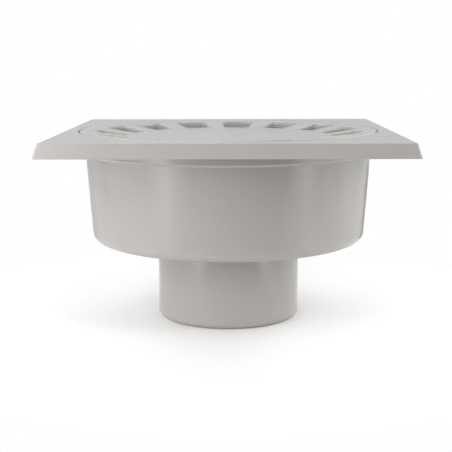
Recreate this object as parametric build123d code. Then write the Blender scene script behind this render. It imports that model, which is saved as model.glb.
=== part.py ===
from build123d import *
from math import cos, sin, tan, atan2, pi, radians
import os

# Floor gully with an internal water trap: a square floor plate moulded in one
# piece with a round drum and a vertical outlet spigot, a round dished grate
# with radial slots, and a lift-out bell that sits over the standpipe.
# Millimetres, +Z up. Origin at the middle of the outlet's lower end.

# ---- driving dimensions ----
HEIGHT = 83.0            # outlet's lower end to the top of the plate
PLATE = 145.0            # plate side, at its lower edge
PLATE_EDGE = 5.7         # height of the plate's sloping edge
PLATE_BEVEL = 1.7        # how far the top face stands in from the lower edge
PLATE_SHEET = 2.8        # thickness of the plate's flat sheet
SKIRT = 2.2              # thickness of the sloping edge
PLATE_CORNER_R = 0.9     # rounding of the plate's four upright corners
PLATE_RIM_R = 0.45       # rounding of the top face's edge

SEAT_R = 65.65           # round opening in the top face
SEAT_DEPTH = 3.2         # top face down to the ledge that holds the grate
SEAT_WALL = 2.2          # wall round the opening, under the plate

COLLAR_R = 63.8          # short upright ring under the plate
COLLAR_DROP = 10.1       # top face down to the collar's lower edge
COLLAR_CHAMFER = 1.1

DRUM_R_TOP = 62.95       # drum's outer radius, carried up to the plate's lower edge
DRUM_R_BOTTOM = 60.0     # the same, carried down to the drum's floor
DRUM_FLOOR_DROP = 48.1   # top face down to the drum's underside
DRUM_CORNER_R = 4.0
WALL = 2.6
FLOOR = 2.8

OUTLET_R = 31.5          # 63 mm pipe size
OUTLET_BORE_R = 28.5
OUTLET_LIP_R = 2.4       # rounding of the outlet's lower rim
STANDPIPE_R = 30.9
STANDPIPE_TOP = 62.5
STANDPIPE_LIP_R = 0.8

GRATE_R = 65.15
GRATE_T = 3.2
GRATE_EDGE_R = 0.35
DISH_R_OUT = 60.0        # flat rim ends here
DISH_R_IN = 43.0         # level centre starts here
DISH_DEPTH = 2.4
DISH_SMOOTH_R = 26.0     # soft bends between rim, slope and centre
UNDER_R = 59.6           # the grate's underside is level outside this radius
RING_R_IN = 57.2         # locating ring under the grate, just inside the ledge
RING_DROP = 5.5          # top face down to the ring's lower edge
NICK = (9.0, 2.0, 0.45)  # shallow lifting nick on the rim: length, width, depth
NICK_R = 62.2            # middle of the nick
NICK_TURN = 19.4         # degrees to the right of the front, the middle of a bar
SLOTS = 15
SLOT_TURN = 4.6          # degrees clockwise from the back
SLOT_R_IN = 44.5
SLOT_R_OUT = 58.1
SLOT_W_IN = 10.8
SLOT_W_OUT = 14.8
SLOT_CORNER_R = 2.0
SLOT_EDGE_R = 1.2        # rounding of the slots' upper edges

BELL_R = 44.0
BELL_TOP_R = 43.0
BELL_WALL = 2.2
BELL_TOP = 72.0
BELL_RIM = 44.5
BELL_CROWN_R = 4.0
FIN_T = 1.8
FIN_IN_R = 21.0
FIN_LEG_R = 31.5         # the fins' legs start here, outside the standpipe
FIN_LEG_BOTTOM = 54.0
FINS = 4

os.makedirs("parts", exist_ok=True)


def turned(points):
    """A solid of revolution about Z from (radius, height) points."""
    wire = Polyline(*[(r, 0, z) for r, z in points], close=True)
    return revolve(make_face(wire), axis=Axis.Z)


def edges_at(solid, r, z, tol=0.02):
    """Round edges about Z with this radius at this height."""
    found = []
    for e in solid.edges().filter_by(GeomType.CIRCLE):
        c = e.arc_center
        if abs(c.X) < tol and abs(c.Y) < tol and abs(e.radius - r) < tol and abs(c.Z - z) < tol:
            found.append(e)
    return found


def frustum(half_low, half_high, z_low, z_high):
    """A square block with sloping sides."""
    a = Plane.XY.offset(z_low) * Rectangle(2 * half_low, 2 * half_low)
    b = Plane.XY.offset(z_high) * Rectangle(2 * half_high, 2 * half_high)
    return loft([a, b])


# ---- body: plate, seat, collar, drum, standpipe and outlet, one moulding ----
z_top = HEIGHT
z_edge = HEIGHT - PLATE_EDGE
z_seat = HEIGHT - SEAT_DEPTH
z_collar = HEIGHT - COLLAR_DROP
z_drum = HEIGHT - DRUM_FLOOR_DROP
z_floor = z_drum + FLOOR
draft = (DRUM_R_TOP - DRUM_R_BOTTOM) / (z_edge - z_drum)


def drum_r(z):
    return DRUM_R_BOTTOM + draft * (z - z_drum)


half = PLATE / 2
plate = frustum(half, half - PLATE_BEVEL, z_edge, z_top)
corner_edges = [e for e in plate.edges()
                if abs(e.position_at(0).Z - e.position_at(1).Z) > PLATE_EDGE / 2]
plate = fillet(corner_edges, PLATE_CORNER_R)
rim_edges = [e for e in plate.edges()
             if abs(e.position_at(0).Z - z_top) < 0.01 and abs(e.position_at(1).Z - z_top) < 0.01]
plate = fillet(rim_edges, PLATE_RIM_R)

# hollow under the plate, inside the sloping edge
z_sheet = z_top - PLATE_SHEET
slope = PLATE_BEVEL / PLATE_EDGE
low = half - SKIRT
high = low - slope * (z_sheet - z_edge)
hollow = frustum(low + slope * 1.0, high, z_edge - 1.0, z_sheet)
plate = plate - hollow

# stiffening ribs in the hollow, running from the seat wall to the corners
rib_h = z_sheet - z_edge
for k in range(4):
    for turn, reach in ((-17, 78.0), (0, 96.0), (17, 78.0)):
        a = 45 + 90 * k + turn
        start = SEAT_R + 0.4
        length = reach - start
        rib = Pos(start + length / 2, 0, z_edge + 0.6 + (rib_h - 0.6) / 2) * Box(length, 1.8, rib_h - 0.6 + 0.02)
        plate = plate + Rot(0, 0, a) * rib

seat_wall_r = SEAT_R + SEAT_WALL
plate = plate - Pos(0, 0, z_top - 5) * Cylinder(SEAT_R, 30)

shell = turned([
    (OUTLET_BORE_R, 0), (OUTLET_R, 0), (OUTLET_R, z_drum),
    (DRUM_R_BOTTOM, z_drum), (drum_r(z_collar), z_collar),
    (COLLAR_R, z_collar + COLLAR_CHAMFER), (COLLAR_R, z_edge),
    (seat_wall_r, z_edge), (seat_wall_r, z_top - 0.8), (SEAT_R, z_top - 0.8),
    (SEAT_R, z_seat),
    (drum_r(z_seat) - WALL - 0.25, z_seat),
    (DRUM_R_BOTTOM - WALL + draft * FLOOR, z_floor),
    (STANDPIPE_R, z_floor), (STANDPIPE_R, STANDPIPE_TOP), (OUTLET_BORE_R, STANDPIPE_TOP)])
shell = fillet(edges_at(shell, DRUM_R_BOTTOM, z_drum), DRUM_CORNER_R)
shell = fillet(edges_at(shell, OUTLET_R, 0), OUTLET_LIP_R)
shell = fillet(edges_at(shell, OUTLET_R, z_drum), 1.0)
shell = fillet(edges_at(shell, DRUM_R_BOTTOM - WALL + draft * FLOOR, z_floor), 2.0)
shell = fillet(edges_at(shell, STANDPIPE_R, z_floor), 1.2)
shell = fillet(edges_at(shell, STANDPIPE_R, STANDPIPE_TOP), STANDPIPE_LIP_R)

body = plate + shell
body = chamfer(edges_at(body, SEAT_R, z_top), 0.3)

# ---- grate: round, dished, radial slots ----
z_dish = z_top - DISH_DEPTH
z_ring = z_top - RING_DROP
ring_fall = DISH_DEPTH * (UNDER_R - RING_R_IN) / (UNDER_R - DISH_R_IN)
grate = turned([
    (0, z_dish), (DISH_R_IN, z_dish), (DISH_R_OUT, z_top), (GRATE_R, z_top),
    (GRATE_R, z_top - GRATE_T), (UNDER_R, z_top - GRATE_T),
    (UNDER_R, z_ring), (RING_R_IN, z_ring), (RING_R_IN, z_top - GRATE_T - ring_fall),
    (DISH_R_IN, z_dish - GRATE_T), (0, z_dish - GRATE_T)])
grate = fillet(edges_at(grate, DISH_R_IN, z_dish), DISH_SMOOTH_R)
grate = fillet(edges_at(grate, DISH_R_OUT, z_top), DISH_SMOOTH_R)
grate = fillet(edges_at(grate, GRATE_R, z_top), GRATE_EDGE_R)


def slot_face():
    """One slot in plan, pointing along +Y: straight sides, ends curved about the centre."""
    def side_half(r):
        t = (r - SLOT_R_IN) / (SLOT_R_OUT - SLOT_R_IN)
        return (SLOT_W_IN + (SLOT_W_OUT - SLOT_W_IN) * t) / 2
    hi, ho = SLOT_W_IN / 2, SLOT_W_OUT / 2
    yi = (SLOT_R_IN ** 2 - hi ** 2) ** 0.5
    yo = (SLOT_R_OUT ** 2 - ho ** 2) ** 0.5
    line = Line((-hi, yi), (-ho, yo)) + \
        ThreePointArc((-ho, yo), (0, SLOT_R_OUT), (ho, yo)) + \
        Line((ho, yo), (hi, yi)) + \
        ThreePointArc((hi, yi), (0, SLOT_R_IN), (-hi, yi))
    face = make_face(line)
    return fillet(face.vertices(), SLOT_CORNER_R)


one_slot = extrude(Pos(0, 0, z_top - 12) * slot_face(), amount=20)
for k in range(SLOTS):
    grate = grate - Rot(0, 0, -(SLOT_TURN + 360.0 * k / SLOTS)) * one_slot

upper_edges = []
for e in grate.edges():
    pts = [e.position_at(t) for t in (0, 0.25, 0.5, 0.75, 1)]
    radii = [(p.X ** 2 + p.Y ** 2) ** 0.5 for p in pts]
    upright = abs(pts[0].X - pts[-1].X) < 0.001 and abs(pts[0].Y - pts[-1].Y) < 0.001
    if min(radii) > 43.9 and max(radii) < 59.9 and min(p.Z for p in pts) > z_dish - 0.3 and not upright:
        upper_edges.append(e)
grate = grate.fillet(SLOT_EDGE_R, upper_edges)

# a shallow nick for a fingernail, on the near side of the rim
nick = Pos(0, -NICK_R, z_top) * Box(NICK[0], NICK[1], 2 * NICK[2])
grate = grate - Rot(0, 0, NICK_TURN) * nick

# ---- bell: inverted cup over the standpipe, with fins that rest on its rim ----
bell = turned([
    (0, BELL_TOP), (BELL_TOP_R, BELL_TOP), (BELL_R, BELL_RIM),
    (BELL_R - BELL_WALL, BELL_RIM), (BELL_TOP_R - BELL_WALL, BELL_TOP - BELL_WALL),
    (0, BELL_TOP - BELL_WALL)])
bell = fillet(edges_at(bell, BELL_TOP_R, BELL_TOP), BELL_CROWN_R)
bell = fillet(edges_at(bell, BELL_TOP_R - BELL_WALL, BELL_TOP - BELL_WALL), BELL_CROWN_R - BELL_WALL)
z_crown = BELL_TOP - BELL_WALL
bell_slope = (BELL_R - BELL_TOP_R) / (BELL_TOP - BELL_RIM)
leg_out = BELL_R - BELL_WALL - bell_slope * (FIN_LEG_BOTTOM - BELL_RIM) + 0.4
for k in range(FINS):
    fin = make_face(Polyline(
        (FIN_IN_R, 0, z_crown + 0.4), (FIN_IN_R, 0, STANDPIPE_TOP + 2.5),
        (FIN_IN_R + 4.0, 0, STANDPIPE_TOP), (FIN_LEG_R, 0, STANDPIPE_TOP),
        (FIN_LEG_R, 0, FIN_LEG_BOTTOM + 1.5), (FIN_LEG_R + 1.5, 0, FIN_LEG_BOTTOM),
        (leg_out, 0, FIN_LEG_BOTTOM), (BELL_TOP_R - BELL_WALL - 1.2, 0, z_crown + 0.4),
        close=True))
    fin = extrude(fin, amount=FIN_T / 2, both=True)
    bell = bell + Rot(0, 0, 45 + 360.0 / FINS * k) * fin

for name, shape in (("gully_body", body), ("slotted_grate", grate), ("trap_bell", bell)):
    solids = shape.solids()
    print(name, len(solids), "solid", round(sum(s.volume for s in solids), 1), "mm3", shape.is_valid)
    export_step(shape, f"parts/{name}.step")
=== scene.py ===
import bpy
import math
from mathutils import Matrix, Vector

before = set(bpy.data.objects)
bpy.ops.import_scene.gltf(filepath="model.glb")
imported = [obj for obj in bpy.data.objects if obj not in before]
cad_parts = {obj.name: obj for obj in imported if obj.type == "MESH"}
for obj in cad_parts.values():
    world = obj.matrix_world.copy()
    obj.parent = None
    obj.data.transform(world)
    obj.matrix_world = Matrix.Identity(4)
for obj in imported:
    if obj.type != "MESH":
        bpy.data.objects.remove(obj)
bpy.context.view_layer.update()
scene = bpy.context.scene


# ---------------------------------------------------------------- camera
# Placed from the outlines of the plate, drum and outlet. Distances in metres,
# focal length in pixels of the 452 x 452 frame.
CAM_AT = (0.00248, -0.42509, 0.11466)
CAM_YAW, CAM_PITCH, CAM_ROLL = -0.00825, 0.17505, -0.00248
CAM_FOCAL_PX = 957.2

forward = Vector((math.sin(CAM_YAW) * math.cos(CAM_PITCH), math.cos(CAM_YAW) * math.cos(CAM_PITCH), -math.sin(CAM_PITCH)))
right = Vector((math.cos(CAM_YAW), -math.sin(CAM_YAW), 0.0))
up = right.cross(forward)
cam_x = right * math.cos(CAM_ROLL) + up * math.sin(CAM_ROLL)
cam_y = up * math.cos(CAM_ROLL) - right * math.sin(CAM_ROLL)
cam_data = bpy.data.cameras.new("camera")
cam_data.sensor_width = 36.0
cam_data.lens = CAM_FOCAL_PX / 452.0 * 36.0
cam_data.clip_start = 0.01
cam_data.clip_end = 50.0
cam = bpy.data.objects.new("camera", cam_data)
scene.collection.objects.link(cam)
m = Matrix((cam_x, cam_y, -forward)).transposed().to_4x4()
m.translation = Vector(CAM_AT)
cam.matrix_world = m
scene.camera = cam


# ---------------------------------------------------------------- materials
def new_material(name):
    mat = bpy.data.materials.new(name)
    mat.use_nodes = True
    nt = mat.node_tree
    nt.nodes.clear()
    return mat, nt, nt.nodes, nt.links


def plastic(name, dark, light, rough_lo, rough_hi, seed, grain=0.028):
    """Satin moulded plastic: faint cloudiness in the colour, uneven gloss, a fine surface grain."""
    mat, nt, nodes, links = new_material(name)
    out = nodes.new("ShaderNodeOutputMaterial")
    bsdf = nodes.new("ShaderNodeBsdfPrincipled")
    links.new(bsdf.outputs["BSDF"], out.inputs["Surface"])
    bsdf.inputs["IOR"].default_value = 1.5
    coords = nodes.new("ShaderNodeTexCoord")
    shift = nodes.new("ShaderNodeMapping")
    shift.inputs["Location"].default_value = (seed, seed * 0.37, seed * 0.73)
    links.new(coords.outputs["Object"], shift.inputs["Vector"])

    cloud = nodes.new("ShaderNodeTexNoise")
    cloud.inputs["Scale"].default_value = 26.0
    cloud.inputs["Detail"].default_value = 4.0
    cloud.inputs["Roughness"].default_value = 0.55
    links.new(shift.outputs["Vector"], cloud.inputs["Vector"])
    tone = nodes.new("ShaderNodeValToRGB")
    tone.color_ramp.elements[0].position = 0.30
    tone.color_ramp.elements[0].color = (*dark, 1)
    tone.color_ramp.elements[1].position = 0.72
    tone.color_ramp.elements[1].color = (*light, 1)
    links.new(cloud.outputs["Fac"], tone.inputs["Fac"])
    links.new(tone.outputs["Color"], bsdf.inputs["Base Color"])

    sheen = nodes.new("ShaderNodeTexNoise")
    sheen.inputs["Scale"].default_value = 90.0
    sheen.inputs["Detail"].default_value = 3.0
    links.new(shift.outputs["Vector"], sheen.inputs["Vector"])
    rough = nodes.new("ShaderNodeMapRange")
    rough.inputs["From Min"].default_value = 0.30
    rough.inputs["From Max"].default_value = 0.70
    rough.inputs["To Min"].default_value = rough_lo
    rough.inputs["To Max"].default_value = rough_hi
    links.new(sheen.outputs["Fac"], rough.inputs["Value"])
    links.new(rough.outputs["Result"], bsdf.inputs["Roughness"])

    fine = nodes.new("ShaderNodeTexNoise")
    fine.inputs["Scale"].default_value = 1400.0
    fine.inputs["Detail"].default_value = 2.0
    links.new(shift.outputs["Vector"], fine.inputs["Vector"])
    bump = nodes.new("ShaderNodeBump")
    bump.inputs["Strength"].default_value = grain
    bump.inputs["Distance"].default_value = 0.0002
    links.new(fine.outputs["Fac"], bump.inputs["Height"])
    links.new(bump.outputs["Normal"], bsdf.inputs["Normal"])
    return mat


BODY = plastic("body_satin_plastic", (0.359, 0.341, 0.325), (0.375, 0.357, 0.339), 0.16, 0.20, 1.7)
GRATE = plastic("grate_satin_plastic", (0.364, 0.346, 0.337), (0.380, 0.362, 0.352), 0.16, 0.20, 4.1)
BELL = plastic("bell_satin_plastic", (0.344, 0.327, 0.311), (0.360, 0.343, 0.327), 0.19, 0.25, 7.3)

for node, mat in (("gully_body", BODY), ("slotted_grate", GRATE), ("trap_bell", BELL)):
    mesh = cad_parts[node].data
    mesh.materials.clear()
    mesh.materials.append(mat)


# ---------------------------------------------------------------- floor
def floor_material():
    mat, nt, nodes, links = new_material("pale_floor")
    out = nodes.new("ShaderNodeOutputMaterial")
    bsdf = nodes.new("ShaderNodeBsdfPrincipled")
    links.new(bsdf.outputs["BSDF"], out.inputs["Surface"])
    bsdf.inputs["Roughness"].default_value = 0.9
    bsdf.inputs["Specular IOR Level"].default_value = 0.1
    coords = nodes.new("ShaderNodeTexCoord")
    noise = nodes.new("ShaderNodeTexNoise")
    noise.inputs["Scale"].default_value = 3.0
    links.new(coords.outputs["Object"], noise.inputs["Vector"])
    ramp = nodes.new("ShaderNodeValToRGB")
    ramp.color_ramp.elements[0].color = (0.90, 0.90, 0.90, 1)
    ramp.color_ramp.elements[1].color = (0.92, 0.92, 0.92, 1)
    links.new(noise.outputs["Fac"], ramp.inputs["Fac"])
    links.new(ramp.outputs["Color"], bsdf.inputs["Base Color"])
    return mat


TABLE_R = 0.15           # round white table that the part stands on

bpy.ops.mesh.primitive_circle_add(vertices=192, radius=TABLE_R, fill_type="NGON", location=(0, 0, 0))
floor = bpy.context.object
floor.name = "floor"
floor.data.materials.append(floor_material())


# ---------------------------------------------------------------- light
def softbox(name, azimuth, elevation, distance, size, radiance, target=(0, 0, 0.045)):
    """A square area light facing the target. Azimuth 0 is at the camera's side (-Y), positive to the right (+X)."""
    a, e = math.radians(azimuth), math.radians(elevation)
    at = Vector(target) + distance * Vector((math.sin(a) * math.cos(e), -math.cos(a) * math.cos(e), math.sin(e)))
    data = bpy.data.lights.new(name, "AREA")
    data.shape = "SQUARE"
    data.size = size
    data.energy = radiance * math.pi * size * size
    lamp = bpy.data.objects.new(name, data)
    lamp.location = at
    lamp.rotation_mode = "QUATERNION"
    lamp.rotation_quaternion = (at - Vector(target)).to_track_quat("Z", "Y")
    scene.collection.objects.link(lamp)
    return lamp


softbox("left_rear_high", -110, 38, 0.42, 0.18, 4.32)
softbox("left_high", -85, 38, 0.42, 0.18, 0.92)
softbox("left_front_low", -60, 12, 0.42, 0.18, 5.82)
softbox("left_front_high", -60, 38, 0.42, 0.18, 1.83)
softbox("front_left_low", -35, 12, 0.42, 0.18, 0.61)
softbox("front_left_high", -35, 38, 0.42, 0.18, 3.73)
softbox("right_front_low", 60, 12, 0.42, 0.18, 0.85)
softbox("right_low", 85, 12, 0.42, 0.18, 5.3)
softbox("right_high", 85, 38, 0.42, 0.18, 3.91)
softbox("right_rear_high", 110, 38, 0.42, 0.18, 3.44)

# The room beyond the lights: brightness by direction, in bands of elevation and
# sectors of azimuth (degrees). The camera's own side is dark.
SKY_COARSE = [-180, -140, -110, -90, -71, -53, -35, -15, 5, 25, 45, 61, 81, 95, 120, 150, 180]
SKY_FINE = [-180, -140, -110, -90, -78, -66, -56, -46, -35, -15, 5, 25, 40, 50, 60, 70, 80, 95, 120, 150, 180]
SKY_BANDS = [
    (-90, -60, [0.0]),
    (-60, -35, [1.55, 2.05, 3.51, 5.57, 9.11, 10.38, 6.48, 3.58, 0.88, 0.0, 0.0, 0.0, 0.0, 1.1, 0.96, 0.65]),
    (-35, -18, [1.12, 1.11, 2.97, 3.09, 2.17, 0.65, 0.14, 0.18, 0.38, 0.0, 0.0, 0.0, 0.42, 0.79, 1.52, 2.8, 3.24, 2.25, 1.03, 0.38]),
    (-18, -14.5, [0.52, 0.7, 0.2, 0.19, 0.21, 0.96, 1.55, 0.13, 0.14, 0.0, 0.0, 0.03, 0.0, 0.0, 0.09, 0.37, 0.0, 0.64, 0.67, 0.15]),
    (-14.5, -11, [0.52, 0.7, 1.39, 2.31, 2.69, 3.5, 5.93, 3.51, 0.0, 0.0, 0.0, 0.02, 0.0, 3.02, 4.08, 1.38, 2.12, 0.94, 0.67, 0.15]),
    (-11, -7, [0.52, 0.7, 1.17, 0.54, 0.04, 1.96, 4.3, 1.4, 0.0, 0.0, 0.0, 0.07, 0.0, 2.51, 4.16, 2.22, 0.0, 1.8, 0.67, 0.15]),
    (-7, 0, [0.7, 0.0, 0.0, 0.0, 0.0, 1.83, 3.82, 0.56, 0.0, 0.07, 0.05, 0.22, 0.0, 0.0, 2.87, 1.88, 0.0, 0.0, 1.97, 1.24]),
    (0, 20, [0.64, 0.0, 0.0, 0.0, 0.0, 0.0, 1.01, 3.1, 1.13, 1.19, 1.15, 0.34, 0.02, 0.11, 0.0, 0.0, 0.0, 0.0, 0.0, 0.61]),
    (20, 40, [0.9, 0.0, 0.0, 0.0, 0.0, 0.0, 3.68, 0.0, 0.35, 0.0, 1.92, 1.3, 0.0, 0.0, 1.68, 0.9]),
    (40, 65, [2.95, 0.0, 0.0, 0.0, 0.27, 0.0, 0.0, 0.0, 0.0, 2.88, 1.92, 0.18, 0.0, 0.0, 0.0, 2.21]),
    (65, 90, [0.0]),
]
SKY_PEAK = 10.5           # the ramps hold levels as a share of this
REAR_TINT = (0.965, 1.0, 1.0)  # the room behind the part is a little cooler

world = bpy.data.worlds.new("studio")
scene.world = world
world.use_nodes = True
wn, wl = world.node_tree.nodes, world.node_tree.links
wn.clear()


def wmath(op, a, b=None):
    k = wn.new("ShaderNodeMath")
    k.operation = op
    for socket, v in zip(k.inputs, (a, b)):
        if v is None:
            continue
        if isinstance(v, (int, float)):
            socket.default_value = v
        else:
            wl.new(v, socket)
    return k.outputs[0]


w_coord = wn.new("ShaderNodeTexCoord")
w_xyz = wn.new("ShaderNodeSeparateXYZ")
wl.new(w_coord.outputs["Generated"], w_xyz.inputs[0])
w_azimuth = wmath("ARCTAN2", w_xyz.outputs["X"], wmath("MULTIPLY", w_xyz.outputs["Y"], -1.0))
w_turn = wmath("ADD", wmath("DIVIDE", w_azimuth, 2 * math.pi), 0.5)
w_total = None
for low, high, levels in SKY_BANDS:
    ramp = wn.new("ShaderNodeValToRGB")
    ramp.color_ramp.interpolation = "CONSTANT"
    stops = ramp.color_ramp.elements
    stops[0].position = 0.0
    stops[0].color = (levels[0] / SKY_PEAK,) * 3 + (1,)
    stops.remove(stops[1])
    azimuths = SKY_FINE if len(levels) > 16 else SKY_COARSE
    for azimuth, level in zip(azimuths[1:-1], levels[1:]):
        stop = stops.new((azimuth + 180) / 360)
        stop.color = (level / SKY_PEAK,) * 3 + (1,)
    wl.new(w_turn, ramp.inputs["Fac"])
    above = wmath("GREATER_THAN", w_xyz.outputs["Z"], math.sin(math.radians(low)) if low > -90 else -2.0)
    below = wmath("LESS_THAN", w_xyz.outputs["Z"], math.sin(math.radians(high)) if high < 90 else 2.0)
    part = wmath("MULTIPLY", wmath("MULTIPLY", above, below), ramp.outputs["Color"])
    w_total = part if w_total is None else wmath("ADD", w_total, part)
w_room = wn.new("ShaderNodeBackground")
w_tint = wn.new("ShaderNodeValToRGB")
w_tint.color_ramp.interpolation = "CONSTANT"
w_tint.color_ramp.elements[0].color = (*REAR_TINT, 1)
w_tint.color_ramp.elements[1].position = (-110 + 180) / 360
w_tint.color_ramp.elements[1].color = (1.0, 1.0, 1.0, 1)
w_tint.color_ramp.elements.new((110 + 180) / 360).color = (*REAR_TINT, 1)
wl.new(w_turn, w_tint.inputs["Fac"])
wl.new(w_tint.outputs["Color"], w_room.inputs["Color"])
wl.new(wmath("MULTIPLY", w_total, SKY_PEAK), w_room.inputs["Strength"])
w_white = wn.new("ShaderNodeBackground")
w_white.inputs["Color"].default_value = (1.0, 1.0, 1.0, 1)
w_white.inputs["Strength"].default_value = 1.0
w_path = wn.new("ShaderNodeLightPath")
w_mix = wn.new("ShaderNodeMixShader")
wl.new(w_path.outputs["Is Camera Ray"], w_mix.inputs["Fac"])
wl.new(w_room.outputs["Background"], w_mix.inputs[1])
wl.new(w_white.outputs["Background"], w_mix.inputs[2])
w_out = wn.new("ShaderNodeOutputWorld")
wl.new(w_mix.outputs["Shader"], w_out.inputs["Surface"])

scene.view_settings.view_transform = "Standard"
scene.view_settings.look = "None"
scene.view_settings.exposure = 0.0
scene.view_settings.gamma = 1.0
